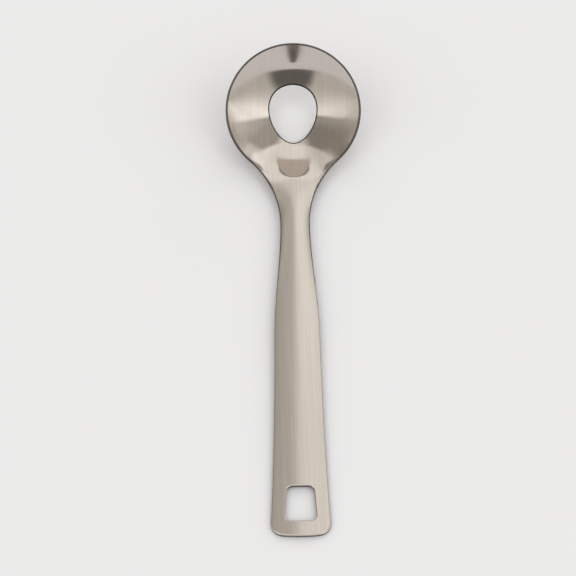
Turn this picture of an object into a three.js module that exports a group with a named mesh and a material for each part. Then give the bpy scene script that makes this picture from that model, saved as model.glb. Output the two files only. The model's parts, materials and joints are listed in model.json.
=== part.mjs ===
// Meatball scoop: one pressing of stainless steel sheet, with a round bowl, a neck and a crowned handle.
// Millimetres, +Z up. The scoop lies as on a table: on the bowl's underside and the end of the handle.
import * as THREE from 'three';

const { degToRad, lerp, smoothstep } = THREE.MathUtils;

// Sheet
const SHEET = 2.0;
const EDGE_BREAK = 0.5; // every cut edge is eased by this much

// Bowl. Its frame has the middle of the rim as origin, +Y away from the handle and +Z out of the mouth.
const RIM_RADIUS = 33.5;
const RIM_SLOPE = degToRad(46); // the wall's steepness at the rim
const RIM_TRIM = 0.6; // how far the rim's cut leans from square to the sheet towards upright
const TRIM_FADE = [-6, 14]; // the cut turns square to the sheet over this run past the rim

// Release hole in the bowl's middle, egg shaped, narrow end towards the handle
const HOLE_HALF_LENGTH = 14.85;
const HOLE_HALF_WIDTH = 11.85;
const HOLE_EGG = 0.185; // 0 is an ellipse

// Bend where the bowl's wall turns over into the handle: crisp in the middle, soft at the sides
const BEND_SHARP = 0.25;
const BEND_SOFT = 3.6;
const BEND_FADE = 12;
const BEND_REACH = 8;
const BEND_END = degToRad(65); // the bend has run out this far round the rim

// Neck
const NECK_HALF_WIDTH = 7.4;
const FLARE_RADIUS = 44.3; // hollow curve from the rim to the neck
const FLANGE_LIFT = 0.42; // how far the handle's face, run on to the rim, stands over it
const DISH_ASIDE = [7, 20]; // towards its flares the neck is dished like the rim
const DISH_RUN = [-8, 2]; // and flattens out over this run past the rim

// Handle. Lengths along it start at the bend.
const HANDLE_SLOPE = degToRad(27);
const HANDLE_LENGTH = 194.1;
const CROWN = 1.0; // the middle stands this much over the edges
const CROWN_START = 0;
const CROWN_FULL = 18;
const SHOULDER_WIDTH = 3.56; // half-width gained over the shoulder
const SHOULDER_END = 90;
const TAIL_WIDTH = 3.26; // half-width gained from there to the end
const END_CORNER = 6.5;
const END_BOW = degToRad(7); // the end's curve meets its corners at this angle

// Hang hole, square to the handle, with sides along the handle's edges
const HANG_START = 169.3;
const HANG_END = 186.6;
const HANG_MARGIN = 6.7;
const HANG_CORNER = 2.5;

// Mesh steps
const NECK_COLUMNS = 10;
const FLARE_STEPS = 6;
const RIM_STEPS = 42;
const WALL_ROWS = 6;
const NECK_ROWS = 4;
const HANDLE_ROWS = 24;
const ROW_CROWDING = 1.4; // rows lie closer together near the bend
const NECK_CUT = 14; // the handle's rows begin this far along it
const END_CUT = 160; // the hang hole's ring begins this far along it
const HANG_SIDE_STEPS = 8;
const HANG_ROWS = 3;
const CORNER_STEPS = 2;

// Worked out from the sizes above
const RISE = Math.tan(HANDLE_SLOPE);
const FORESHORTEN = Math.cos(HANDLE_SLOPE);
const UPRIGHT = new THREE.Vector3(0, 0, 1);
const HANDLE_NORMAL = new THREE.Vector3(0, Math.sin(HANDLE_SLOPE), Math.cos(HANDLE_SLOPE));
const ROLL_RADIUS = RIM_RADIUS / (1 - Math.cos(2 * RIM_SLOPE)); // circle that rolls out the bowl's profile
const FLARE_X = NECK_HALF_WIDTH + FLARE_RADIUS;
const FLARE_START = Math.asin(FLARE_X / (RIM_RADIUS + FLARE_RADIUS)); // where the flare leaves the rim
const FLARE_Y = -(RIM_RADIUS + FLARE_RADIUS) * Math.cos(FLARE_START);
const NECK = (-FLARE_Y - RIM_RADIUS) / FORESHORTEN; // the narrowest place, along the handle

const planY = (along) => -RIM_RADIUS - along * FORESHORTEN;

// Bowl profile: a cycloid, so the wall steepens evenly from the middle to the rim
function bowlHeight(radius) {
  const rolled = (turn) => ROLL_RADIUS * (turn - Math.sin(turn));
  return rolled(Math.acos(1 - radius / ROLL_RADIUS)) - rolled(2 * RIM_SLOPE);
}

// Half the sheet's width at a place along the handle
function halfWidth(along) {
  if (along < NECK) {
    const up = planY(along) - FLARE_Y;
    return FLARE_X - Math.sqrt(FLARE_RADIUS ** 2 - up ** 2);
  }
  const shoulder = SHOULDER_WIDTH * smoothstep(along, NECK, SHOULDER_END);
  const tail = TAIL_WIDTH * ((along - NECK) / (HANDLE_LENGTH - NECK)) ** 3;
  return NECK_HALF_WIDTH + shoulder + tail;
}

// Height of the uncrowned sheet: the bowl and the handle, rounded into each other at the bend
function baseHeight(x, y) {
  const radius = Math.hypot(x, y);
  const run = -y - RIM_RADIUS;
  const dished = smoothstep(Math.abs(x), ...DISH_ASIDE) * (1 - smoothstep(run, ...DISH_RUN));
  const flange = lerp(FLANGE_LIFT + RISE * run, RISE * (radius - RIM_RADIUS), dished);
  if (run > BEND_REACH) return flange;
  const bowl = bowlHeight(radius);
  const bend = lerp(BEND_SHARP, BEND_SOFT, smoothstep(Math.abs(x), 0, BEND_FADE));
  const near = Math.max(bend - Math.abs(bowl - flange), 0) / bend;
  const bent = Math.min(bowl, flange) - (near * near * bend) / 4;
  const aside = Math.atan2(Math.abs(x), -y);
  return lerp(bent, bowl, smoothstep(aside, FLARE_START, BEND_END));
}

// Upper face of the sheet over a point of the plan
function sheetTop(x, y) {
  const run = -y - RIM_RADIUS;
  const crown = CROWN * smoothstep(run, CROWN_START, CROWN_FULL);
  const drop = crown > 0 ? crown * (x / halfWidth(run / FORESHORTEN)) ** 2 : 0;
  return new THREE.Vector3(x, y, baseHeight(x, y)).addScaledVector(HANDLE_NORMAL, -drop);
}

function sheetNormal(x, y) {
  const step = 0.02;
  const across = sheetTop(x + step, y).sub(sheetTop(x - step, y));
  const along = sheetTop(x, y + step).sub(sheetTop(x, y - step));
  return across.cross(along).normalize();
}

// Way from the upper face to the lower one. The bowl's cuts are upright, the handle's square to the handle.
function throughSheet(x, y) {
  const normal = sheetNormal(x, y);
  const run = -y - RIM_RADIUS;
  const outward = (Math.hypot(x, y) / RIM_RADIUS) ** 2;
  const upright = Math.max(0, lerp(1, RIM_TRIM, outward)) * (1 - smoothstep(run, ...TRIM_FADE));
  const square = smoothstep(run / FORESHORTEN, NECK, SHOULDER_END);
  const way = normal.clone().lerp(UPRIGHT, upright).lerp(HANDLE_NORMAL, square).normalize();
  return way.multiplyScalar(-SHEET / way.dot(normal));
}

// Plan of the sheet: points, faces of four points, and the loops of points along its edges
const plan = [];
const faces = [];
const edges = [];

const addPoints = (list) => list.map((point) => plan.push(point.clone()) - 1);

function addFaces(rows, closed) {
  for (let j = 0; j + 1 < rows.length; j += 1) {
    const count = rows[j].length;
    for (let i = 0; i < (closed ? count : count - 1); i += 1) {
      const next = (i + 1) % count;
      faces.push([rows[j][i], rows[j + 1][i], rows[j + 1][next], rows[j][next]]);
    }
  }
}

const between = (from, to, share) => from.map((point, i) => point.clone().lerp(to[i], share));

// Bowl: rings from the release hole to the bend, and on to the rim, the flares and the handle's first row
function bowlStation(index, count) {
  const side = index <= count / 2 ? 1 : -1;
  const step = Math.min(index, count - index);
  const neckSteps = NECK_COLUMNS / 2;
  const cutHalf = halfWidth(NECK_CUT);
  const cutAside = Math.atan2(cutHalf, -planY(NECK_CUT));
  let aside;
  let outer;
  if (step <= neckSteps) {
    aside = (cutAside * step) / neckSteps;
    outer = new THREE.Vector2((cutHalf * step) / neckSteps, planY(NECK_CUT));
  } else if (step <= neckSteps + FLARE_STEPS) {
    const share = (step - neckSteps) / FLARE_STEPS;
    const cutAngle = Math.asin((planY(NECK_CUT) - FLARE_Y) / FLARE_RADIUS);
    const angle = lerp(cutAngle, Math.PI / 2 - FLARE_START, share);
    aside = lerp(cutAside, FLARE_START, share);
    outer = new THREE.Vector2(Math.cos(Math.PI - angle), Math.sin(angle)).multiplyScalar(FLARE_RADIUS);
    outer.add(new THREE.Vector2(FLARE_X, FLARE_Y));
  } else {
    aside = lerp(FLARE_START, Math.PI, (2 * (step - neckSteps - FLARE_STEPS)) / RIM_STEPS);
    outer = new THREE.Vector2(Math.sin(aside), -Math.cos(aside)).multiplyScalar(RIM_RADIUS);
  }
  const inside = BEND_REACH * smoothstep(aside, FLARE_START / 2, BEND_END);
  const bend = new THREE.Vector2(Math.sin(aside), -Math.cos(aside)).multiplyScalar(RIM_RADIUS - inside);
  const turn = (aside + (2 * Math.PI * step) / count) / 2;
  const hole = new THREE.Vector2(
    HOLE_HALF_WIDTH * Math.sin(turn) * (1 - HOLE_EGG * Math.cos(turn)),
    -HOLE_HALF_LENGTH * Math.cos(turn),
  );
  const mirror = new THREE.Vector2(side, 1);
  return { hole: hole.multiply(mirror), bend: bend.multiply(mirror), outer: outer.multiply(mirror) };
}

function bowlRings() {
  const count = NECK_COLUMNS + 2 * FLARE_STEPS + RIM_STEPS;
  const stations = Array.from({ length: count }, (_, i) => bowlStation(i, count));
  const hole = stations.map((station) => station.hole);
  const bend = stations.map((station) => station.bend);
  const outer = stations.map((station) => station.outer);
  const rings = [];
  for (let j = 0; j < WALL_ROWS; j += 1) {
    rings.push(addPoints(between(hole, bend, 1 - (1 - j / WALL_ROWS) ** ROW_CROWDING)));
  }
  for (let j = 0; j <= NECK_ROWS; j += 1) {
    rings.push(addPoints(between(bend, outer, (j / NECK_ROWS) ** ROW_CROWDING)));
  }
  addFaces(rings, true);
  return rings;
}

// Handle: straight rows from the neck to the hang hole's ring, starting on the bowl's last ring
function handleRows(firstRow) {
  const rows = [firstRow];
  for (let j = 1; j <= HANDLE_ROWS; j += 1) {
    const along = lerp(NECK_CUT, END_CUT, j / HANDLE_ROWS);
    const across = Array.from({ length: NECK_COLUMNS + 1 }, (_, i) => (2 * i) / NECK_COLUMNS - 1);
    const width = halfWidth(along);
    rows.push(addPoints(across.map((share) => new THREE.Vector2(share * width, planY(along)))));
  }
  addFaces(rows, false);
  return rows;
}

// Quarter of a round-cornered four-sided outline, from the middle of one corner to the middle of the next.
// Corners run anticlockwise from the top left, in a plan of the handle with the end at the bottom.
function cornerToCorner(corners, radius, quarter) {
  const path = new THREE.Path();
  const [first, second] = [corners[quarter], corners[(quarter + 1) % 4]];
  const turn = (quarter * Math.PI) / 2;
  path.absarc(first.x, first.y, radius, turn + degToRad(135), turn + degToRad(180), false);
  path.absarc(second.x, second.y, radius, turn + degToRad(180), turn + degToRad(225), false);
  return path;
}

// Lower half of the handle's end, from the middle of its left corner to the middle of the right one
function endCurve(corner) {
  const reach = -corner.x + END_CORNER * Math.sin(END_BOW);
  const dip = corner.y - END_CORNER * Math.cos(END_BOW) - reach * Math.tan(END_BOW);
  const path = new THREE.Path();
  path.absarc(corner.x, corner.y, END_CORNER, degToRad(225), degToRad(270) - END_BOW, false);
  path.quadraticCurveTo(0, dip, reach, corner.y - END_CORNER * Math.cos(END_BOW));
  path.absarc(-corner.x, corner.y, END_CORNER, degToRad(270) + END_BOW, degToRad(315), false);
  return path;
}

// Handle's end: rings from the hang hole to the outline, whose top is the handle's last row
function hangRings(lastRow) {
  const topX = halfWidth(HANG_START) - HANG_MARGIN - HANG_CORNER;
  const bottomX = halfWidth(HANG_END) - HANG_MARGIN - HANG_CORNER;
  const holeCorners = [
    new THREE.Vector2(-topX, -HANG_START - HANG_CORNER),
    new THREE.Vector2(-bottomX, -HANG_END + HANG_CORNER),
    new THREE.Vector2(bottomX, -HANG_END + HANG_CORNER),
    new THREE.Vector2(topX, -HANG_START - HANG_CORNER),
  ];
  const steps = [HANG_SIDE_STEPS, NECK_COLUMNS, HANG_SIDE_STEPS, NECK_COLUMNS];
  const hole = steps.flatMap((count, quarter) =>
    cornerToCorner(holeCorners, HANG_CORNER, quarter).getSpacedPoints(count).slice(0, -1));

  const cornerX = END_CORNER - halfWidth(HANDLE_LENGTH - END_CORNER);
  const bowed = (-cornerX + END_CORNER * Math.sin(END_BOW)) * Math.tan(END_BOW) / 2;
  const corner = new THREE.Vector2(cornerX, END_CORNER * Math.cos(END_BOW) + bowed - HANDLE_LENGTH);
  const left = [];
  const straight = HANG_SIDE_STEPS - CORNER_STEPS;
  for (let i = 0; i < straight; i += 1) {
    const along = lerp(END_CUT, -corner.y, i / straight);
    left.push(new THREE.Vector2(-halfWidth(along), -along));
  }
  for (let i = 0; i <= CORNER_STEPS; i += 1) {
    const angle = degToRad(180) + (degToRad(45) * i) / CORNER_STEPS;
    left.push(new THREE.Vector2(Math.cos(angle), Math.sin(angle)).multiplyScalar(END_CORNER).add(corner));
  }
  const bottom = endCurve(corner).getSpacedPoints(NECK_COLUMNS);
  const right = left.map((point) => new THREE.Vector2(-point.x, point.y)).reverse();
  const top = lastRow.map((index) => new THREE.Vector2(plan[index].x, -END_CUT)).reverse();
  const outer = [left, bottom, right, top].flatMap((piece) => piece.slice(0, -1));

  const onPlan = (list) => list.map((point) => new THREE.Vector2(point.x, planY(-point.y)));
  const rings = [];
  for (let j = 0; j < HANG_ROWS; j += 1) {
    rings.push(addPoints(onPlan(between(hole, outer, j / HANG_ROWS))));
  }
  const free = addPoints(onPlan(outer.slice(1, outer.length - NECK_COLUMNS)));
  rings.push([lastRow[0], ...free, ...lastRow.slice(1).reverse()]);
  addFaces(rings, true);
  return { rings, free };
}

// Whole plan, with its three edges. Each edge loop has the sheet on its left.
function layOut() {
  const rings = bowlRings();
  const hole = rings[0];
  const outer = rings[rings.length - 1];
  const half = NECK_COLUMNS / 2;
  const rows = handleRows([...outer.slice(-half), ...outer.slice(0, half + 1)]);
  const lastRow = rows[rows.length - 1];
  const end = hangRings(lastRow);
  const sides = rows.slice(1, -1);
  edges.push([...hole].reverse());
  edges.push([...end.rings[0]].reverse());
  edges.push([
    ...outer.slice(half, outer.length - half + 1),
    ...sides.map((row) => row[0]),
    lastRow[0],
    ...end.free,
    lastRow[NECK_COLUMNS],
    ...sides.map((row) => row[NECK_COLUMNS]).reverse(),
  ]);
}

// Closed solid: the upper and lower faces, drawn in by the edge break, joined by the eased edges
function sheetGeometry() {
  layOut();
  const inset = plan.map((point) => point.clone());
  const corners = [];
  const addCorner = (point) => corners.push(point) - 1;
  for (const loop of edges) {
    loop.forEach((index, i) => {
      const before = plan[loop[(i + loop.length - 1) % loop.length]];
      const after = plan[loop[(i + 1) % loop.length]];
      const way = after.clone().sub(before).normalize();
      inset[index].add(new THREE.Vector2(-way.y, way.x).multiplyScalar(EDGE_BREAK));
    });
  }
  const top = inset.map((point) => addCorner(sheetTop(point.x, point.y)));
  const bottom = inset.map((point) => {
    return addCorner(sheetTop(point.x, point.y).add(throughSheet(point.x, point.y)));
  });
  const triangles = [];
  const addQuad = (a, b, c, d) => triangles.push(a, b, c, a, c, d);
  for (const [a, b, c, d] of faces) {
    addQuad(top[a], top[b], top[c], top[d]);
    addQuad(bottom[d], bottom[c], bottom[b], bottom[a]);
  }
  for (const loop of edges) {
    const level = (depth) => loop.map((index) => {
      const { x, y } = plan[index];
      return addCorner(sheetTop(x, y).addScaledVector(throughSheet(x, y), depth / SHEET));
    });
    const onTop = loop.map((index) => top[index]);
    const onBottom = loop.map((index) => bottom[index]);
    const levels = [onTop, level(EDGE_BREAK), level(SHEET - EDGE_BREAK), onBottom];
    for (let j = 0; j + 1 < levels.length; j += 1) {
      for (let i = 0; i < loop.length; i += 1) {
        const next = (i + 1) % loop.length;
        addQuad(levels[j][i], levels[j + 1][i], levels[j + 1][next], levels[j][next]);
      }
    }
  }
  const geometry = new THREE.BufferGeometry().setFromPoints(corners);
  geometry.setIndex(triangles);
  geometry.computeVertexNormals();
  return geometry;
}

// Tilt at which the bowl and the handle's end touch the table together
function restTilt(geometry) {
  const position = geometry.getAttribute('position');
  const lowest = (tilt, inPart) => {
    let low = Infinity;
    for (let i = 0; i < position.count; i += 1) {
      const y = position.getY(i);
      if (inPart(y)) low = Math.min(low, y * Math.sin(tilt) + position.getZ(i) * Math.cos(tilt));
    }
    return low;
  };
  const middle = planY(HANDLE_LENGTH / 2);
  let [low, high] = [0, 2 * HANDLE_SLOPE];
  const halvings = 50;
  for (let i = 0; i < halvings; i += 1) {
    const tilt = (low + high) / 2;
    const bowlLower = lowest(tilt, (y) => y > middle) < lowest(tilt, (y) => y <= middle);
    if (bowlLower) low = tilt;
    else high = tilt;
  }
  return low;
}

const steel = new THREE.MeshStandardMaterial({ color: 0xcbc4bc, roughness: 0.36, metalness: 1 });
const scoop = new THREE.Mesh(sheetGeometry(), steel);
scoop.name = 'scoop';
scoop.rotation.x = restTilt(scoop.geometry);

// Origin on the table, under the middle of the scoop's box
const part = new THREE.Group();
part.add(scoop);
const box = new THREE.Box3().setFromObject(part, true);
const centre = box.getCenter(new THREE.Vector3());
scoop.position.set(-centre.x, -centre.y, -box.min.z);

export default part;
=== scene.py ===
# Meatball scoop: one pressing of brushed stainless steel, lying on a pale floor under soft studio light.
# The sheet's formulas are in millimetres, in the bowl's frame.
# The finished mesh is in metres, in the row frame.
import json
import math
from typing import NamedTuple

import bpy
import numpy as np
from mathutils import Matrix, Vector


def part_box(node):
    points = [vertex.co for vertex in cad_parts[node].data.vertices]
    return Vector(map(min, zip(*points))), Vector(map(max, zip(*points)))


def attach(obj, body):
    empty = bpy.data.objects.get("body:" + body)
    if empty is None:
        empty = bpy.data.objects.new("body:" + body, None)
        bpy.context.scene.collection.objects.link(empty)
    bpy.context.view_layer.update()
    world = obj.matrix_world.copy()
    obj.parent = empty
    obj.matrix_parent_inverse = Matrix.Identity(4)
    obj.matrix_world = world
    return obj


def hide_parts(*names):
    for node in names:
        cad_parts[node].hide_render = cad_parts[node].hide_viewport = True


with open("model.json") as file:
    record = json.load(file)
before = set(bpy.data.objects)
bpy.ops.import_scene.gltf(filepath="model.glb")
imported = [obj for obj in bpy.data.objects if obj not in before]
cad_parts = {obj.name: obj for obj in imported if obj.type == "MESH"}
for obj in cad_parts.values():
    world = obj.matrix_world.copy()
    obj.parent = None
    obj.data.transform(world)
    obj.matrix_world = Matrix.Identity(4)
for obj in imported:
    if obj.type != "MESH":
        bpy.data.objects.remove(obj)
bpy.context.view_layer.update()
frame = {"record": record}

MM = 0.001

# Sheet
SHEET = 2.0
EDGE_ROUND = 0.5  # radius of every cut edge
EDGE_MARGIN = 0.1  # a narrow strip of the flat beside each rounded edge

# Bowl: origin in the middle of the rim, +Y away from the handle, +Z out of the mouth
RIM_RADIUS = 33.5
RIM_SLOPE = math.radians(46)
RIM_TRIM = 0.6  # how far the rim's cut leans from square to the sheet towards upright
TRIM_FADE = (-6, 14)  # the cut turns square to the sheet over this run past the rim

# Release hole in the bowl's middle, egg shaped, narrow end towards the handle
HOLE_HALF_LENGTH = 14.85
HOLE_HALF_WIDTH = 11.85
HOLE_EGG = 0.185

# Bend where the bowl's wall turns over into the handle: crisp in the middle, soft at the sides
BEND_SHARP = 0.25
BEND_SOFT = 3.6
BEND_FADE = 12
BEND_REACH = 8
BEND_END = math.radians(65)

# Neck
NECK_HALF_WIDTH = 7.4
FLARE_RADIUS = 44.3
FLANGE_LIFT = 0.42  # how far the flat flange lies over the rim's plane at the bend
DISH_ASIDE = (7, 20)  # the flange goes from flat to dished over this distance aside
DISH_RUN = (-8, 2)  # and from dished back to flat over this run past the rim

# Handle, with lengths along it from the bend
HANDLE_SLOPE = math.radians(27)
HANDLE_LENGTH = 194.1
CROWN = 1.0
CROWN_START = 0
CROWN_FULL = 18
SHOULDER_WIDTH = 3.56  # half width gained from the neck to the shoulder's end
SHOULDER_END = 90
TAIL_WIDTH = 3.26  # half width gained from the neck to the handle's end, most of it late
TAIL_POWER = 3
END_CORNER = 6.5
END_BOW = math.radians(7)

# Hang hole
HANG_START = 169.3
HANG_END = 186.6
HANG_MARGIN = 6.7
HANG_CORNER = 2.5

# Mesh steps
NECK_COLUMNS = 20
FLARE_STEPS = 14
RIM_STEPS = 96
WALL_ROWS = 16
NECK_ROWS = 14
ROW_CROWDING = 2.0  # power that crowds the rows towards the bend
HANDLE_ROWS = 60
NECK_CUT = 14  # the handle's straight rows run from here
END_CUT = 160  # to here, where the hang hole's rings begin
HANG_SIDE_STEPS = 24
HANG_ROWS = 6
CORNER_STEPS = 8
ARC_POINTS = 33  # fine points of a round corner, and of the bowed end, before they are spaced evenly
BOW_POINTS = 161
EDGE_STEPS = 4
NORMAL_STEP = 0.02  # reach of the slopes that give the sheet's normal
TILT_HALVINGS = 50

# Camera, from where the rim's circle lies in the photograph
FRAME_PIXELS = 576
FOCAL_PIXELS = 1991.7
RIM_PIXEL = (293.28, 109.7)
CAMERA_DISTANCE = 1.0  # metres from the rim's middle, along the view
CAMERA_AZIMUTH = math.radians(-0.87)
CAMERA_ELEVATION = math.radians(58.95)
SENSOR_WIDTH = 36.0

# Finish. Grain cells are widths and lengths in metres.
NOISE_RANGE = (0.3, 0.7)  # where most values of a noise lie
NOISE_MIDDLE = 0.5
FINE_DETAIL = 3.0
SCRATCH = (0.00016, 0.03)
SCRATCH_DEPTH = 0.0000015
SCRATCH_TONE = 0.04
STREAK = (0.0014, 0.05)
STREAK_TONE = 0.035
HANDLING = (0.03, 0.04)  # faint clouding from use
HANDLING_ROUGH = 0.015
BRUSHED_ROUGH = (0.08, 0.11)
GRAIN_STRETCH = 0.88  # how far the grain draws reflections out across itself
RUB = (0.004, 0.004)
RUB_RANGE = (0.45, 0.7)  # values of the noise over which a rub goes from dark to bright
# painted shade: the cut edges get only a few hundredths of the steel's colour, standing for the dark
# surroundings they reflect
CUT_EDGE_PAINTED_SHADE = (0.04, 0.1)
EDGE_ROUGH = (0.45, 0.35)
BOWL_EDGE_SHADE_FADE = (0.03, -0.02)  # metres along the scoop between which the painted shade on the rounded edges round the bowl gives way to the steel's own bright tone
BOWL_EDGE_SHADE_UNEVEN = 0.04
# painted shade: the rounded edges round the bowl get 0.2 of the steel's colour, those along the handle
# its full colour
EASED_TONE_WITH_PAINTED_SHADE = (0.2, 1.0)
EASED_ROUGH = (0.4, 0.1)
BRUSHED, CUT, EASED = range(3)  # order of the materials

# Floor
FLOOR_HALF = 3.0  # metres
FLOOR_COLOUR = (0.93, 0.95, 0.98, 1)
FLOOR_ROUGH = 0.8


class Box(NamedTuple):
    """Soft box or dark flag seen from the object. Angles each way: fade in, full, full, fade out."""
    level: float
    tip: tuple  # degrees from straight up towards the far side
    aside: tuple  # degrees towards +X


# Surroundings: an even room, soft boxes that add to it, and flags that leave the given share of it
ALL_ROUND = (-92, -91, 91, 92)
AMBIENT = (0.338, 0.31, 0.276)  # slightly warm
WASH = [  # front panel on the handle's side, under two sloping edges
    Box(0.33, (-110, -100, -14, 6), ALL_ROUND),
    Box(0.53, (-80, -14, -14, 6), (-100, -58, 60, 130)),  # its brighter upper part
    Box(0.21, (-85, -20, -14, 6), (30, 50, 60, 90)),  # and right part
    Box(0.24, (-14, 6, 60, 90), (-92, -91, -20, -10)),  # left wing
    Box(0.3, (-14, 6, 14, 34), (-88, -70, -20, -10)),  # its brighter near part
    Box(0.7, (-14, 6, 20, 75), (10, 20, 91, 92)),  # right wing
]
WASH_EDGES = [(0.296, 0.814, 0.5), (-0.324, 0.803, 0.5)]  # normals of the planes of those edges
WASH_FADE = (-3, 3)
WASH_MIDDLE = (-44, -38, 38, 44)  # reaches higher than the sloping edges
WASH_MIDDLE_TOP = (0.0, -0.1)  # radians of tip over which that middle fades in
SPILL = [Box(0.2, (-14, 6, 60, 90), (-92, -91, -20, -10))]  # light past the left wing's edge
SPILL_FADE = (-3, 22)
BACK = [  # back panel on the bowl's side, over two sloping edges
    Box(0.5, (37.5, 40.5, 80, 90), ALL_ROUND),
    Box(0.28, (37.5, 40.5, 80, 90), (-24, -8, 91, 92)),  # its brighter middle and right
]
BACK_EDGES = [(-0.567, 0.774, -0.282), (0.535, 0.755, -0.378)]  # normals, as for the front
BACK_FADE = (-1.5, 3.5)
SOFT_BOXES = [
    Box(0.65, (-8, -2, 14, 20), (-28, -22, 22, 28)),  # overhead
    Box(0.7, (-52, -42, 0, 10), (-44, -38, -32, -26)),  # left of the camera
    Box(0.7, (-52, -42, 0, 10), (26, 32, 38, 44)),  # right of the camera
    Box(0.71, (14, 19, 37.5, 40.5), (-5, 3, 17, 28)),  # over the handle, right half
    Box(0.1, (24, 30, 37.5, 40.5), (2, 6, 14, 20)),  # bright strip in it
    Box(0.3, (14, 19, 37.5, 40.5), (-28, -8, -5, 3)),  # over the handle, left half
    Box(0.2, (30, 34, 37.5, 40.5), (-22, -18, -2, 2)),  # bright strip in it
    Box(0.18, (-9, -2, 80, 100), (20, 34, 91, 92)),  # fill from the right
    Box(0.12, (0, 10, 80, 100), (48, 56, 91, 92)),  # its outer part
    Box(0.22, (50, 53, 80, 100), (36, 38, 91, 92)),  # its far part
    Box(0.3, (49, 53, 60, 70), (34, 38, 46, 52)),  # and near side of that
    Box(0.15, (48, 52, 80, 90), (-41, -37, -32, -28)),  # fill at the back, left
    Box(0.2, (10, 50, 80, 100), (52, 70, 91, 92)),  # fill low on the right
    Box(0.08, (30, 40, 80, 100), (-92, -91, -72, -60)),  # fill from the left
]
FLAGS = [
    Box(0.25, (-120, -110, -80, -62), (-36, -22, 24, 42)),  # dark gap behind the camera
    Box(0.9, (-48, -38, 4, 12), (-26, -20, 20, 26)),  # camera and its stand
]
CARD_SHARE = 0.33  # round dark card in front of the back panel
CARD_MIDDLE = (78.5, 0)
CARD_EDGE = (21.5, 22.9)

# Worked out from the sizes above
RISE = math.tan(HANDLE_SLOPE)
FORESHORTEN = math.cos(HANDLE_SLOPE)
UPRIGHT = np.array([0, 0, 1])
HANDLE_NORMAL = np.array([0, math.sin(HANDLE_SLOPE), math.cos(HANDLE_SLOPE)])
ROLL_RADIUS = RIM_RADIUS / (1 - math.cos(2 * RIM_SLOPE))
FLARE_X = NECK_HALF_WIDTH + FLARE_RADIUS
FLARE_START = math.asin(FLARE_X / (RIM_RADIUS + FLARE_RADIUS))
FLARE_Y = -(RIM_RADIUS + FLARE_RADIUS) * math.cos(FLARE_START)
NECK = (-FLARE_Y - RIM_RADIUS) / FORESHORTEN


def smoothstep(value, low, high):
    share = np.clip((value - low) / (high - low), 0, 1)
    return share * share * (3 - 2 * share)


def lerp(start, end, share):
    return start + (end - start) * share


def plan_y(along):
    """Plan Y of a place along the handle."""
    return -RIM_RADIUS - along * FORESHORTEN


def bowl_height(radius):
    """Cycloid profile, so the wall steepens evenly from the middle to the rim."""
    def rolled(turn):
        return ROLL_RADIUS * (turn - np.sin(turn))
    return rolled(np.arccos(np.clip(1 - radius / ROLL_RADIUS, -1, 1))) - rolled(2 * RIM_SLOPE)


def half_width(along):
    """Half the sheet's width at a place along the handle."""
    up = plan_y(along) - FLARE_Y
    flare = FLARE_X - np.sqrt(np.maximum(FLARE_RADIUS ** 2 - up ** 2, 0))
    shoulder = SHOULDER_WIDTH * smoothstep(along, NECK, SHOULDER_END)
    tail = TAIL_WIDTH * (np.maximum(along - NECK, 0) / (HANDLE_LENGTH - NECK)) ** TAIL_POWER
    return np.where(along < NECK, flare, NECK_HALF_WIDTH + shoulder + tail)


def base_height(x, y):
    """Height of the uncrowned sheet: the bowl and the handle, rounded into each other at the bend."""
    radius = np.hypot(x, y)
    run = -y - RIM_RADIUS
    dished = smoothstep(np.abs(x), *DISH_ASIDE) * (1 - smoothstep(run, *DISH_RUN))
    flange = lerp(FLANGE_LIFT + RISE * run, RISE * (radius - RIM_RADIUS), dished)
    bowl = bowl_height(radius)
    bend = lerp(BEND_SHARP, BEND_SOFT, smoothstep(np.abs(x), 0, BEND_FADE))
    near = np.maximum(bend - np.abs(bowl - flange), 0) / bend
    bent = np.minimum(bowl, flange) - near * near * bend / 4
    aside = np.arctan2(np.abs(x), -y)
    inside = lerp(bent, bowl, smoothstep(aside, FLARE_START, BEND_END))
    return np.where(run > BEND_REACH, flange, inside)


def sheet_top(plan):
    """Upper face of the sheet over points of the plan."""
    x, y = plan[..., 0], plan[..., 1]
    run = -y - RIM_RADIUS
    crown = CROWN * smoothstep(run, CROWN_START, CROWN_FULL)
    drop = crown * (x / half_width(np.maximum(run, 0) / FORESHORTEN)) ** 2
    surface = np.stack([x, y, base_height(x, y)], axis=-1)
    return surface - drop[..., None] * HANDLE_NORMAL


def unit(vectors):
    return vectors / np.linalg.norm(vectors, axis=-1, keepdims=True)


def sheet_normal(plan):
    across = sheet_top(plan + [NORMAL_STEP, 0]) - sheet_top(plan - [NORMAL_STEP, 0])
    along = sheet_top(plan + [0, NORMAL_STEP]) - sheet_top(plan - [0, NORMAL_STEP])
    return unit(np.cross(across, along))


def through_sheet(plan):
    """Way from the upper face to the lower one. It sets how the cut walls lean.

    The bowl's cuts are nearly upright, and the handle's are square to the handle.
    """
    normal = sheet_normal(plan)
    run = -plan[..., 1] - RIM_RADIUS
    outward = (np.hypot(plan[..., 0], plan[..., 1]) / RIM_RADIUS) ** 2
    upright = np.maximum(lerp(1, RIM_TRIM, outward), 0) * (1 - smoothstep(run, *TRIM_FADE))
    square = smoothstep(run / FORESHORTEN, NECK, SHOULDER_END)
    way = lerp(normal, UPRIGHT, upright[..., None])
    way = unit(lerp(way, HANDLE_NORMAL, square[..., None]))
    return way * (-SHEET / np.sum(way * normal, axis=-1))[..., None]


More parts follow.
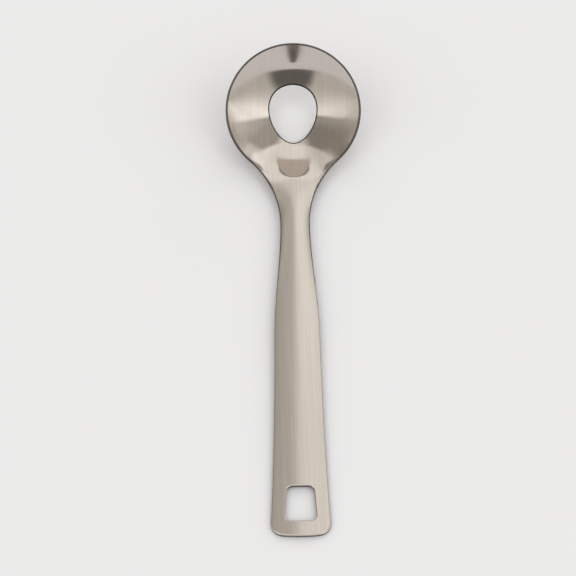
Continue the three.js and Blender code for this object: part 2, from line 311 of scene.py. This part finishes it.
class Plan:
    """Plan of the sheet: points, faces of four points, and the loops of points along its edges."""

    def __init__(self):
        self.points = np.zeros((0, 2))
        self.faces = []
        self.edges = []

    def add(self, points):
        """Adds points and returns their numbers."""
        first = len(self.points)
        self.points = np.vstack([self.points, points])
        return np.arange(first, len(self.points))

    def fill(self, rows, closed):
        """Adds faces between rows of point numbers. Closed rows join their ends."""
        grid = np.array(rows)
        if closed:
            grid = np.hstack([grid, grid[:, :1]])
        corners = [grid[:-1, :-1], grid[1:, :-1], grid[1:, 1:], grid[:-1, 1:]]
        self.faces.append(np.stack(corners, axis=-1).reshape(-1, 4))


def polar(angle):
    """Unit directions, with 0 towards the handle and a quarter turn towards +X."""
    return np.stack([np.sin(angle), -np.cos(angle)], axis=-1)


def circle(angle):
    return np.stack([np.cos(angle), np.sin(angle)], axis=-1)


def bowl_stations():
    """Matching points of the release hole, the bend and the outline, round from the handle's middle."""
    neck_steps = NECK_COLUMNS // 2
    cut_half = half_width(NECK_CUT)
    cut_aside = math.atan2(cut_half, -plan_y(NECK_CUT))
    cut_angle = math.asin((plan_y(NECK_CUT) - FLARE_Y) / FLARE_RADIUS)
    flare_angle = np.linspace(cut_angle, math.pi / 2 - FLARE_START, FLARE_STEPS + 1)
    rim_aside = np.linspace(FLARE_START, math.pi, RIM_STEPS // 2 + 1)[1:]
    across = np.linspace(0, cut_half, neck_steps + 1)
    neck = np.stack([across, np.full_like(across, plan_y(NECK_CUT))], axis=-1)
    flare = [FLARE_X, FLARE_Y] + FLARE_RADIUS * circle(math.pi - flare_angle)
    outer = np.vstack([neck, flare[1:], RIM_RADIUS * polar(rim_aside)])
    aside = np.concatenate([
        np.linspace(0, cut_aside, neck_steps + 1),
        np.linspace(cut_aside, FLARE_START, FLARE_STEPS + 1)[1:],
        rim_aside,
    ])
    inside = BEND_REACH * smoothstep(aside, FLARE_START / 2, BEND_END)
    bend = (RIM_RADIUS - inside)[:, None] * polar(aside)
    turn = (aside + np.linspace(0, math.pi, len(aside))) / 2
    egg = 1 - HOLE_EGG * np.cos(turn)
    hole_y = -HOLE_HALF_LENGTH * np.cos(turn)
    hole = np.stack([HOLE_HALF_WIDTH * np.sin(turn) * egg, hole_y], axis=-1)
    return [np.vstack([half, half[-2:0:-1] * [-1, 1]]) for half in (hole, bend, outer)]


def lay_bowl(plan):
    """Rings from the release hole to the bend, and on to the rim, flares and handle's first row."""
    hole, bend, outer = bowl_stations()
    wall_share = 1 - (1 - np.arange(WALL_ROWS) / WALL_ROWS) ** ROW_CROWDING
    neck_share = (np.arange(NECK_ROWS + 1) / NECK_ROWS) ** ROW_CROWDING
    rings = [plan.add(lerp(hole, bend, share)) for share in wall_share]
    rings += [plan.add(lerp(bend, outer, share)) for share in neck_share]
    plan.fill(rings, closed=True)
    return rings[0], rings[-1]


def lay_handle(plan, first_row):
    """Straight rows from the neck to the hang hole's ring."""
    rows = [first_row]
    across = np.linspace(-1, 1, NECK_COLUMNS + 1)
    for along in np.linspace(NECK_CUT, END_CUT, HANDLE_ROWS + 1)[1:]:
        width = half_width(along)
        rows.append(plan.add(np.stack([across * width, np.full_like(across, plan_y(along))], axis=-1)))
    plan.fill(rows, closed=False)
    return rows


def spaced(points, count):
    """The line through the points, cut into equal lengths."""
    length = np.concatenate([[0], np.cumsum(np.linalg.norm(np.diff(points, axis=0), axis=1))])
    wanted = np.linspace(0, length[-1], count + 1)
    return np.stack([np.interp(wanted, length, points[:, i]) for i in (0, 1)], axis=-1)


def arc(centre, radius, start, end):
    return np.array(centre) + radius * circle(np.radians(np.linspace(start, end, ARC_POINTS)))


def hang_hole():
    """Round-cornered outline from the middle of its top left corner, anticlockwise."""
    top_x = half_width(HANG_START) - HANG_MARGIN - HANG_CORNER
    bottom_x = half_width(HANG_END) - HANG_MARGIN - HANG_CORNER
    top_y, bottom_y = -HANG_START - HANG_CORNER, -HANG_END + HANG_CORNER
    corners = [(-top_x, top_y), (-bottom_x, bottom_y), (bottom_x, bottom_y), (top_x, top_y)]
    steps = [HANG_SIDE_STEPS, NECK_COLUMNS, HANG_SIDE_STEPS, NECK_COLUMNS]
    outline = []
    for quarter, count in enumerate(steps):
        turn = 90 * quarter
        first = arc(corners[quarter], HANG_CORNER, turn + 135, turn + 180)
        second = arc(corners[(quarter + 1) % 4], HANG_CORNER, turn + 180, turn + 225)
        outline.append(spaced(np.vstack([first, second]), count)[:-1])
    return np.vstack(outline)


def handle_end():
    """Left side, bottom and right side of the handle's end, each from corner to corner."""
    bow = math.degrees(END_BOW)
    corner_x = END_CORNER - half_width(HANDLE_LENGTH - END_CORNER)
    reach = -corner_x + END_CORNER * math.sin(END_BOW)
    dip = reach * math.tan(END_BOW)
    corner_y = END_CORNER * math.cos(END_BOW) + dip / 2 - HANDLE_LENGTH
    along = np.linspace(END_CUT, -corner_y, HANG_SIDE_STEPS - CORNER_STEPS + 1)
    side = np.stack([-half_width(along), -along], axis=-1)
    turn = np.radians(np.linspace(180, 225, CORNER_STEPS + 1))
    left = np.vstack([side[:-1], [corner_x, corner_y] + END_CORNER * circle(turn)])
    share = np.linspace(-1, 1, BOW_POINTS)
    lowest = corner_y - END_CORNER * math.cos(END_BOW)
    bowed = np.stack([share * reach, lowest - dip * (1 - share ** 2) / 2], axis=-1)
    first = arc((corner_x, corner_y), END_CORNER, 225, 270 - bow)
    last = arc((-corner_x, corner_y), END_CORNER, 270 + bow, 315)
    bottom = spaced(np.vstack([first, bowed[1:-1], last]), NECK_COLUMNS)
    right = left[::-1] * [-1, 1]
    return left, bottom, right


def lay_end(plan, last_row):
    """Rings from the hang hole to the handle's end, whose top is the handle's last row."""
    hole = hang_hole()
    left, bottom, right = handle_end()
    top = np.stack([plan.points[last_row, 0], np.full(len(last_row), -END_CUT)], axis=-1)[::-1]
    outer = np.vstack([left[:-1], bottom[:-1], right[:-1], top[:-1]])

    def on_plan(points):
        return np.stack([points[:, 0], plan_y(-points[:, 1])], axis=-1)

    rings = [plan.add(on_plan(lerp(hole, outer, j / HANG_ROWS))) for j in range(HANG_ROWS)]
    free = plan.add(on_plan(outer[1:len(outer) - NECK_COLUMNS]))
    rings.append(np.concatenate([last_row[:1], free, last_row[:0:-1]]))
    plan.fill(rings, closed=True)
    return rings[0], free


def lay_out():
    """Whole plan with its three cut edges. Each edge loop has the sheet on its left."""
    plan = Plan()
    hole, outer = lay_bowl(plan)
    half = NECK_COLUMNS // 2
    rows = lay_handle(plan, np.concatenate([outer[-half:], outer[:half + 1]]))
    hang, free = lay_end(plan, rows[-1])
    left_side = [row[0] for row in rows[1:]]
    right_side = [row[-1] for row in rows[:0:-1]]
    plan.edges.append(hole[::-1])
    plan.edges.append(hang[::-1])
    plan.edges.append(np.concatenate([outer[half:len(outer) - half + 1], left_side, free, right_side]))
    return plan


def edge_section():
    """Inset and depth of each level of a cut edge, from the upper flat round to the lower one."""
    turn = np.linspace(0, math.pi / 2, EDGE_STEPS + 1)
    inset = EDGE_ROUND * (1 - np.sin(turn))
    depth = EDGE_ROUND * (1 - np.cos(turn))
    flat = EDGE_ROUND + EDGE_MARGIN
    insets = np.concatenate([[flat], inset, inset[::-1], [flat]])
    depths = np.concatenate([[0], depth, SHEET - depth[::-1], [SHEET]])
    return insets, depths


def sheet_mesh():
    """Points in millimetres in the bowl's frame, the plan place of each, faces and their finishes."""
    plan = lay_out()
    inward = np.zeros_like(plan.points)
    for loop in plan.edges:
        way = unit(plan.points[np.roll(loop, -1)] - plan.points[np.roll(loop, 1)])
        inward[loop] = np.stack([-way[:, 1], way[:, 0]], axis=-1)
    insets, depths = edge_section()
    count = len(plan.points)
    flat_plan = plan.points + inward * insets[0]
    top = sheet_top(flat_plan)
    points = [top, top + through_sheet(flat_plan)]
    places = [flat_plan, flat_plan]
    upper = np.vstack(plan.faces)
    faces = [upper, upper[:, ::-1] + count]
    edge_faces = []
    edge_finish = []
    used = 2 * count
    # Painted shade: the release hole's upper rounding takes the cut edge's darkened colour, while the
    # hang hole and the outline keep eased roundings
    for loop, rounding in zip(plan.edges, (CUT, EASED, EASED)):
        levels = [loop]
        for inset, depth in zip(insets[1:-1], depths[1:-1]):
            place = plan.points[loop] + inward[loop] * inset
            points.append(sheet_top(place) + through_sheet(place) * (depth / SHEET))
            places.append(place)
            levels.append(np.arange(used, used + len(loop)))
            used += len(loop)
        levels.append(loop + count)
        strip = Plan()
        strip.fill(levels, closed=True)
        edge_faces += strip.faces
        finish = np.full((len(levels) - 1, len(loop)), rounding)
        finish[EDGE_STEPS + 1:-1] = CUT  # the wall and the lower rounding, which take the cut edge's painted shade
        edge_finish.append(finish.ravel())
    cut = np.vstack(edge_faces)
    finishes = np.concatenate([np.full(2 * len(upper), BRUSHED), *edge_finish])
    return np.vstack(points), np.vstack(places), np.vstack(faces + [cut]), finishes


def rest_tilt(points):
    """Tilt at which the bowl and the handle's end touch the floor together."""
    in_bowl = points[:, 1] > plan_y(HANDLE_LENGTH / 2)
    low, high = 0.0, 2 * HANDLE_SLOPE
    for _ in range(TILT_HALVINGS):
        tilt = (low + high) / 2
        height = points[:, 1] * math.sin(tilt) + points[:, 2] * math.cos(tilt)
        if height[in_bowl].min() < height[~in_bowl].min():
            low = tilt
        else:
            high = tilt
    return low


def place_on_floor(points):
    """Matrix from the bowl's frame in millimetres to the row frame in metres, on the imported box."""
    turn = Matrix.Rotation(rest_tilt(points), 4, "X")
    turned = points @ np.array(turn.to_3x3()).T * MM
    low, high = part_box("scoop")
    middle = (low + high) / 2
    shift = Vector((
        middle.x - (turned[:, 0].min() + turned[:, 0].max()) / 2,
        middle.y - (turned[:, 1].min() + turned[:, 1].max()) / 2,
        low.z - turned[:, 2].min(),
    ))
    return Matrix.Translation(shift) @ turn @ Matrix.Scale(MM, 4)


def make_scoop(materials):
    """The scoop, with the plan as its brush map, and the middle of its rim."""
    points, places, faces, finishes = sheet_mesh()
    place = place_on_floor(points)
    mesh = bpy.data.meshes.new("scoop_pressing")
    mesh.from_pydata(points.tolist(), [], faces.tolist())
    mesh.transform(place)
    brush = mesh.uv_layers.new(name="brush")
    corners = np.zeros(len(mesh.loops), int)
    mesh.loops.foreach_get("vertex_index", corners)
    brush.uv.foreach_set("vector", (places[corners] * MM).ravel())
    for material in materials:
        mesh.materials.append(material)
    mesh.polygons.foreach_set("material_index", finishes)
    mesh.shade_smooth()
    mesh.update()
    piece = bpy.data.objects.new("scoop_pressing", mesh)
    bpy.context.scene.collection.objects.link(piece)
    return piece, place @ Vector((0, 0, 0))


def node(tree, kind, **settings):
    made = tree.nodes.new(kind)
    for name, value in settings.items():
        setattr(made, name, value)
    return made


def feed(tree, socket, value):
    """Links a socket to a node's output, or sets it to a plain value."""
    if isinstance(value, bpy.types.NodeSocket):
        tree.links.new(value, socket)
    else:
        socket.default_value = value


def calculate(tree, operation, *values):
    made = node(tree, "ShaderNodeMath", operation=operation)
    for socket, value in zip(made.inputs, values):
        feed(tree, socket, value)
    return made.outputs["Value"]


def map_range(tree, value, start, end, low=0.0, high=1.0, kind="SMOOTHSTEP"):
    made = node(tree, "ShaderNodeMapRange", interpolation_type=kind)
    settings = {"Value": value, "From Min": start, "From Max": end, "To Min": low, "To Max": high}
    for name, setting in settings.items():
        feed(tree, made.inputs[name], setting)
    return made.outputs["Result"]


def new_material(name):
    material = bpy.data.materials.new(name)
    material.use_nodes = True
    tree = material.node_tree
    return material, tree, tree.nodes["Principled BSDF"]


def noise(tree, place, cell, detail=2.0):
    """Noise over X and Y of a place, with cells of the given width and length in metres."""
    mapping = node(tree, "ShaderNodeMapping")
    tree.links.new(place, mapping.inputs["Vector"])
    mapping.inputs["Scale"].default_value = (1 / cell[0], 1 / cell[1], 1)
    made = node(tree, "ShaderNodeTexNoise")
    tree.links.new(mapping.outputs["Vector"], made.inputs["Vector"])
    made.inputs["Scale"].default_value = 1
    made.inputs["Detail"].default_value = detail
    return made.outputs["Fac"]


def spread(tree, pattern, low, high):
    """A noise pattern, stretched evenly from low to high."""
    return map_range(tree, pattern, *NOISE_RANGE, low, high, "LINEAR")


def tint(tree, shader, colour, tone):
    """Gives a shader a colour times a tone that varies over the surface."""
    shade = node(tree, "ShaderNodeMix", data_type="RGBA", blend_type="MULTIPLY")
    shade.inputs["Factor"].default_value = 1
    shade.inputs["A"].default_value = (*colour, 1)
    tree.links.new(tone, shade.inputs["B"])
    tree.links.new(shade.outputs["Result"], shader.inputs["Base Color"])


def brushed_steel(colour):
    """Satin steel. Its grain was brushed before pressing, so it keeps to the plan's Y."""
    material, tree, shader = new_material("brushed_steel")
    link = tree.links.new
    place = node(tree, "ShaderNodeUVMap", uv_map="brush").outputs["UV"]
    scratches = noise(tree, place, SCRATCH, FINE_DETAIL)
    streaks = noise(tree, place, STREAK)
    handling = noise(tree, place, HANDLING)

    streak_tone = spread(tree, streaks, -STREAK_TONE, STREAK_TONE)
    scratch_tone = spread(tree, scratches, 1 - SCRATCH_TONE, 1 + SCRATCH_TONE)
    tint(tree, shader, colour, calculate(tree, "ADD", streak_tone, scratch_tone))

    handling_rough = spread(tree, handling, -HANDLING_ROUGH, HANDLING_ROUGH)
    streak_rough = spread(tree, streaks, *BRUSHED_ROUGH)
    link(calculate(tree, "ADD", handling_rough, streak_rough), shader.inputs["Roughness"])
    shader.inputs["Metallic"].default_value = 1
    shader.inputs["Anisotropic"].default_value = GRAIN_STRETCH
    tangent = node(tree, "ShaderNodeTangent", direction_type="UV_MAP", uv_map="brush")
    link(tangent.outputs["Tangent"], shader.inputs["Tangent"])

    bump = node(tree, "ShaderNodeBump")
    bump.inputs["Strength"].default_value = 1
    bump.inputs["Distance"].default_value = SCRATCH_DEPTH
    link(scratches, bump.inputs["Height"])
    link(bump.outputs["Normal"], shader.inputs["Normal"])
    return material


def cut_steel(colour):
    """Cut edge: duller than the brushed faces, its colour darkened with painted shade for the dark
    surroundings it reflects, with small bright rubs at random.
    """
    material, tree, shader = new_material("cut_steel")
    place = node(tree, "ShaderNodeTexCoord").outputs["Object"]
    rubs = noise(tree, place, RUB, FINE_DETAIL)
    tint(tree, shader, colour, map_range(tree, rubs, *RUB_RANGE, *CUT_EDGE_PAINTED_SHADE))
    tree.links.new(map_range(tree, rubs, *RUB_RANGE, *EDGE_ROUGH), shader.inputs["Roughness"])
    shader.inputs["Metallic"].default_value = 1
    return material


def eased_steel(colour):
    """Rounded edges: painted shade and a duller finish round the bowl, the steel's own colour and a
    smoother finish along the handle.
    """
    material, tree, shader = new_material("eased_steel")
    link = tree.links.new
    place = node(tree, "ShaderNodeTexCoord").outputs["Object"]
    along = node(tree, "ShaderNodeSeparateXYZ")
    link(place, along.inputs["Vector"])
    rubs = calculate(tree, "SUBTRACT", noise(tree, place, RUB, FINE_DETAIL), NOISE_MIDDLE)
    # place along the scoop, made uneven by noise, that sets where the painted shade ends
    shade_fade_place = calculate(tree, "MULTIPLY_ADD", rubs, BOWL_EDGE_SHADE_UNEVEN, along.outputs["Y"])
    tint(tree, shader, colour, map_range(tree, shade_fade_place, *BOWL_EDGE_SHADE_FADE, *EASED_TONE_WITH_PAINTED_SHADE))
    link(map_range(tree, shade_fade_place, *BOWL_EDGE_SHADE_FADE, *EASED_ROUGH), shader.inputs["Roughness"])
    shader.inputs["Metallic"].default_value = 1
    return material


def make_floor():
    corners = [(-1, -1, 0), (1, -1, 0), (1, 1, 0), (-1, 1, 0)]
    mesh = bpy.data.meshes.new("floor")
    mesh.from_pydata(corners, [], [(0, 1, 2, 3)])
    mesh.transform(Matrix.Scale(FLOOR_HALF, 4))
    material, _, shader = new_material("floor_white")
    shader.inputs["Base Color"].default_value = FLOOR_COLOUR
    shader.inputs["Roughness"].default_value = FLOOR_ROUGH
    mesh.materials.append(material)
    floor = bpy.data.objects.new("floor", mesh)
    bpy.context.scene.collection.objects.link(floor)


def soft_edged(tree, value, edges):
    """1 between the middle two of four angles in degrees, fading to 0 at the outer two."""
    start, full, full_end, end = (math.radians(angle) for angle in edges)
    rise = map_range(tree, value, start, full)
    fall = map_range(tree, value, end, full_end)
    return calculate(tree, "MULTIPLY", rise, fall)


def box_shape(tree, tip, aside, box):
    """1 on a box, fading to 0 round it."""
    lengthways = soft_edged(tree, tip, box.tip)
    sideways = soft_edged(tree, aside, box.aside)
    return calculate(tree, "MULTIPLY", lengthways, sideways)


def over_edges(tree, direction, normals, fade):
    """1 over all the planes with these normals, fading to 0 under any of them."""
    above = []
    for normal in normals:
        plane = node(tree, "ShaderNodeVectorMath", operation="DOT_PRODUCT")
        tree.links.new(direction, plane.inputs[0])
        plane.inputs[1].default_value = normal
        above.append(plane.outputs["Value"])
    lean = calculate(tree, "ARCSINE", calculate(tree, "MINIMUM", *above))
    low, high = (math.radians(angle) for angle in fade)
    return map_range(tree, lean, low, high)


def under_edges(tree, direction, normals, fade):
    """1 under any of the planes with these normals, fading to 0 over all of them."""
    return calculate(tree, "SUBTRACT", 1.0, over_edges(tree, direction, normals, fade))


def wash_front(tree, direction, tip, aside):
    """1 on the front panel, under its two sloping edges or in its higher middle."""
    under = under_edges(tree, direction, WASH_EDGES, WASH_FADE)
    low = map_range(tree, tip, *WASH_MIDDLE_TOP)
    middle = calculate(tree, "MULTIPLY", soft_edged(tree, aside, WASH_MIDDLE), low)
    return calculate(tree, "MAXIMUM", under, middle)


def round_card(tree, tip, aside):
    """Share of the light that a round dark card leaves."""
    place = node(tree, "ShaderNodeCombineXYZ")
    tree.links.new(tip, place.inputs["X"])
    tree.links.new(aside, place.inputs["Y"])
    away = node(tree, "ShaderNodeVectorMath", operation="DISTANCE")
    tree.links.new(place.outputs["Vector"], away.inputs[0])
    away.inputs[1].default_value = [math.radians(angle) for angle in (*CARD_MIDDLE, 0)]
    inner, outer = (math.radians(angle) for angle in CARD_EDGE)
    return map_range(tree, away.outputs["Value"], inner, outer, CARD_SHARE, 1.0)


def make_world():
    """Studio of soft boxes round the object, with the level of a plain room."""
    world = bpy.data.worlds.new("studio")
    world.use_nodes = True
    tree = world.node_tree
    way = node(tree, "ShaderNodeSeparateXYZ")
    direction = node(tree, "ShaderNodeTexCoord").outputs["Generated"]
    tree.links.new(direction, way.inputs["Vector"])
    tip = calculate(tree, "ARCTAN2", way.outputs["Y"], way.outputs["Z"])
    aside = calculate(tree, "ARCSINE", way.outputs["X"])
    front = wash_front(tree, direction, tip, aside)
    spill = under_edges(tree, direction, WASH_EDGES, SPILL_FADE)
    back = over_edges(tree, direction, BACK_EDGES, BACK_FADE)
    level = 0.0
    for panel, boxes in ((front, WASH), (spill, SPILL), (back, BACK)):
        for box in boxes:
            shape = calculate(tree, "MULTIPLY", box_shape(tree, tip, aside, box), panel)
            level = calculate(tree, "MULTIPLY_ADD", shape, box.level, level)
    for box in SOFT_BOXES:
        level = calculate(tree, "MULTIPLY_ADD", box_shape(tree, tip, aside, box), box.level, level)
    share = round_card(tree, tip, aside)
    for flag in FLAGS:
        shade = calculate(tree, "MULTIPLY_ADD", box_shape(tree, tip, aside, flag), flag.level - 1, 1.0)
        share = calculate(tree, "MULTIPLY", share, shade)
    colour = node(tree, "ShaderNodeVectorMath", operation="ADD")
    tree.links.new(level, colour.inputs[0])
    colour.inputs[1].default_value = AMBIENT
    tree.links.new(colour.outputs["Vector"], tree.nodes["Background"].inputs["Color"])
    tree.links.new(share, tree.nodes["Background"].inputs["Strength"])
    bpy.context.scene.world = world


def make_camera(rim_middle):
    """Camera that sees the middle of the rim where the photograph does."""
    azimuth, elevation = CAMERA_AZIMUTH, CAMERA_ELEVATION
    back = Vector((
        math.sin(azimuth) * math.cos(elevation),
        -math.cos(azimuth) * math.cos(elevation),
        math.sin(elevation),
    ))
    turn = (-back).to_track_quat("-Z", "Y")
    right = turn @ Vector((1, 0, 0))
    up = turn @ Vector((0, 1, 0))
    metres_per_pixel = CAMERA_DISTANCE / FOCAL_PIXELS
    aside = (RIM_PIXEL[0] - FRAME_PIXELS / 2) * metres_per_pixel
    above = (FRAME_PIXELS / 2 - RIM_PIXEL[1]) * metres_per_pixel
    data = bpy.data.cameras.new("camera")
    data.sensor_width = SENSOR_WIDTH
    data.lens = SENSOR_WIDTH * FOCAL_PIXELS / FRAME_PIXELS
    camera = bpy.data.objects.new("camera", data)
    camera.location = rim_middle - aside * right - above * up + CAMERA_DISTANCE * back
    camera.rotation_mode = "QUATERNION"
    camera.rotation_quaternion = turn
    bpy.context.scene.collection.objects.link(camera)
    bpy.context.scene.camera = camera


steel_colour = frame["record"]["materials"][0]["base_color"][:3]
finishes = [brushed_steel(steel_colour), cut_steel(steel_colour), eased_steel(steel_colour)]
scoop, rim_middle = make_scoop(finishes)
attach(scoop, "root")
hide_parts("scoop")
make_floor()
make_world()
make_camera(rim_middle)
bpy.context.scene.view_settings.view_transform = "Standard"
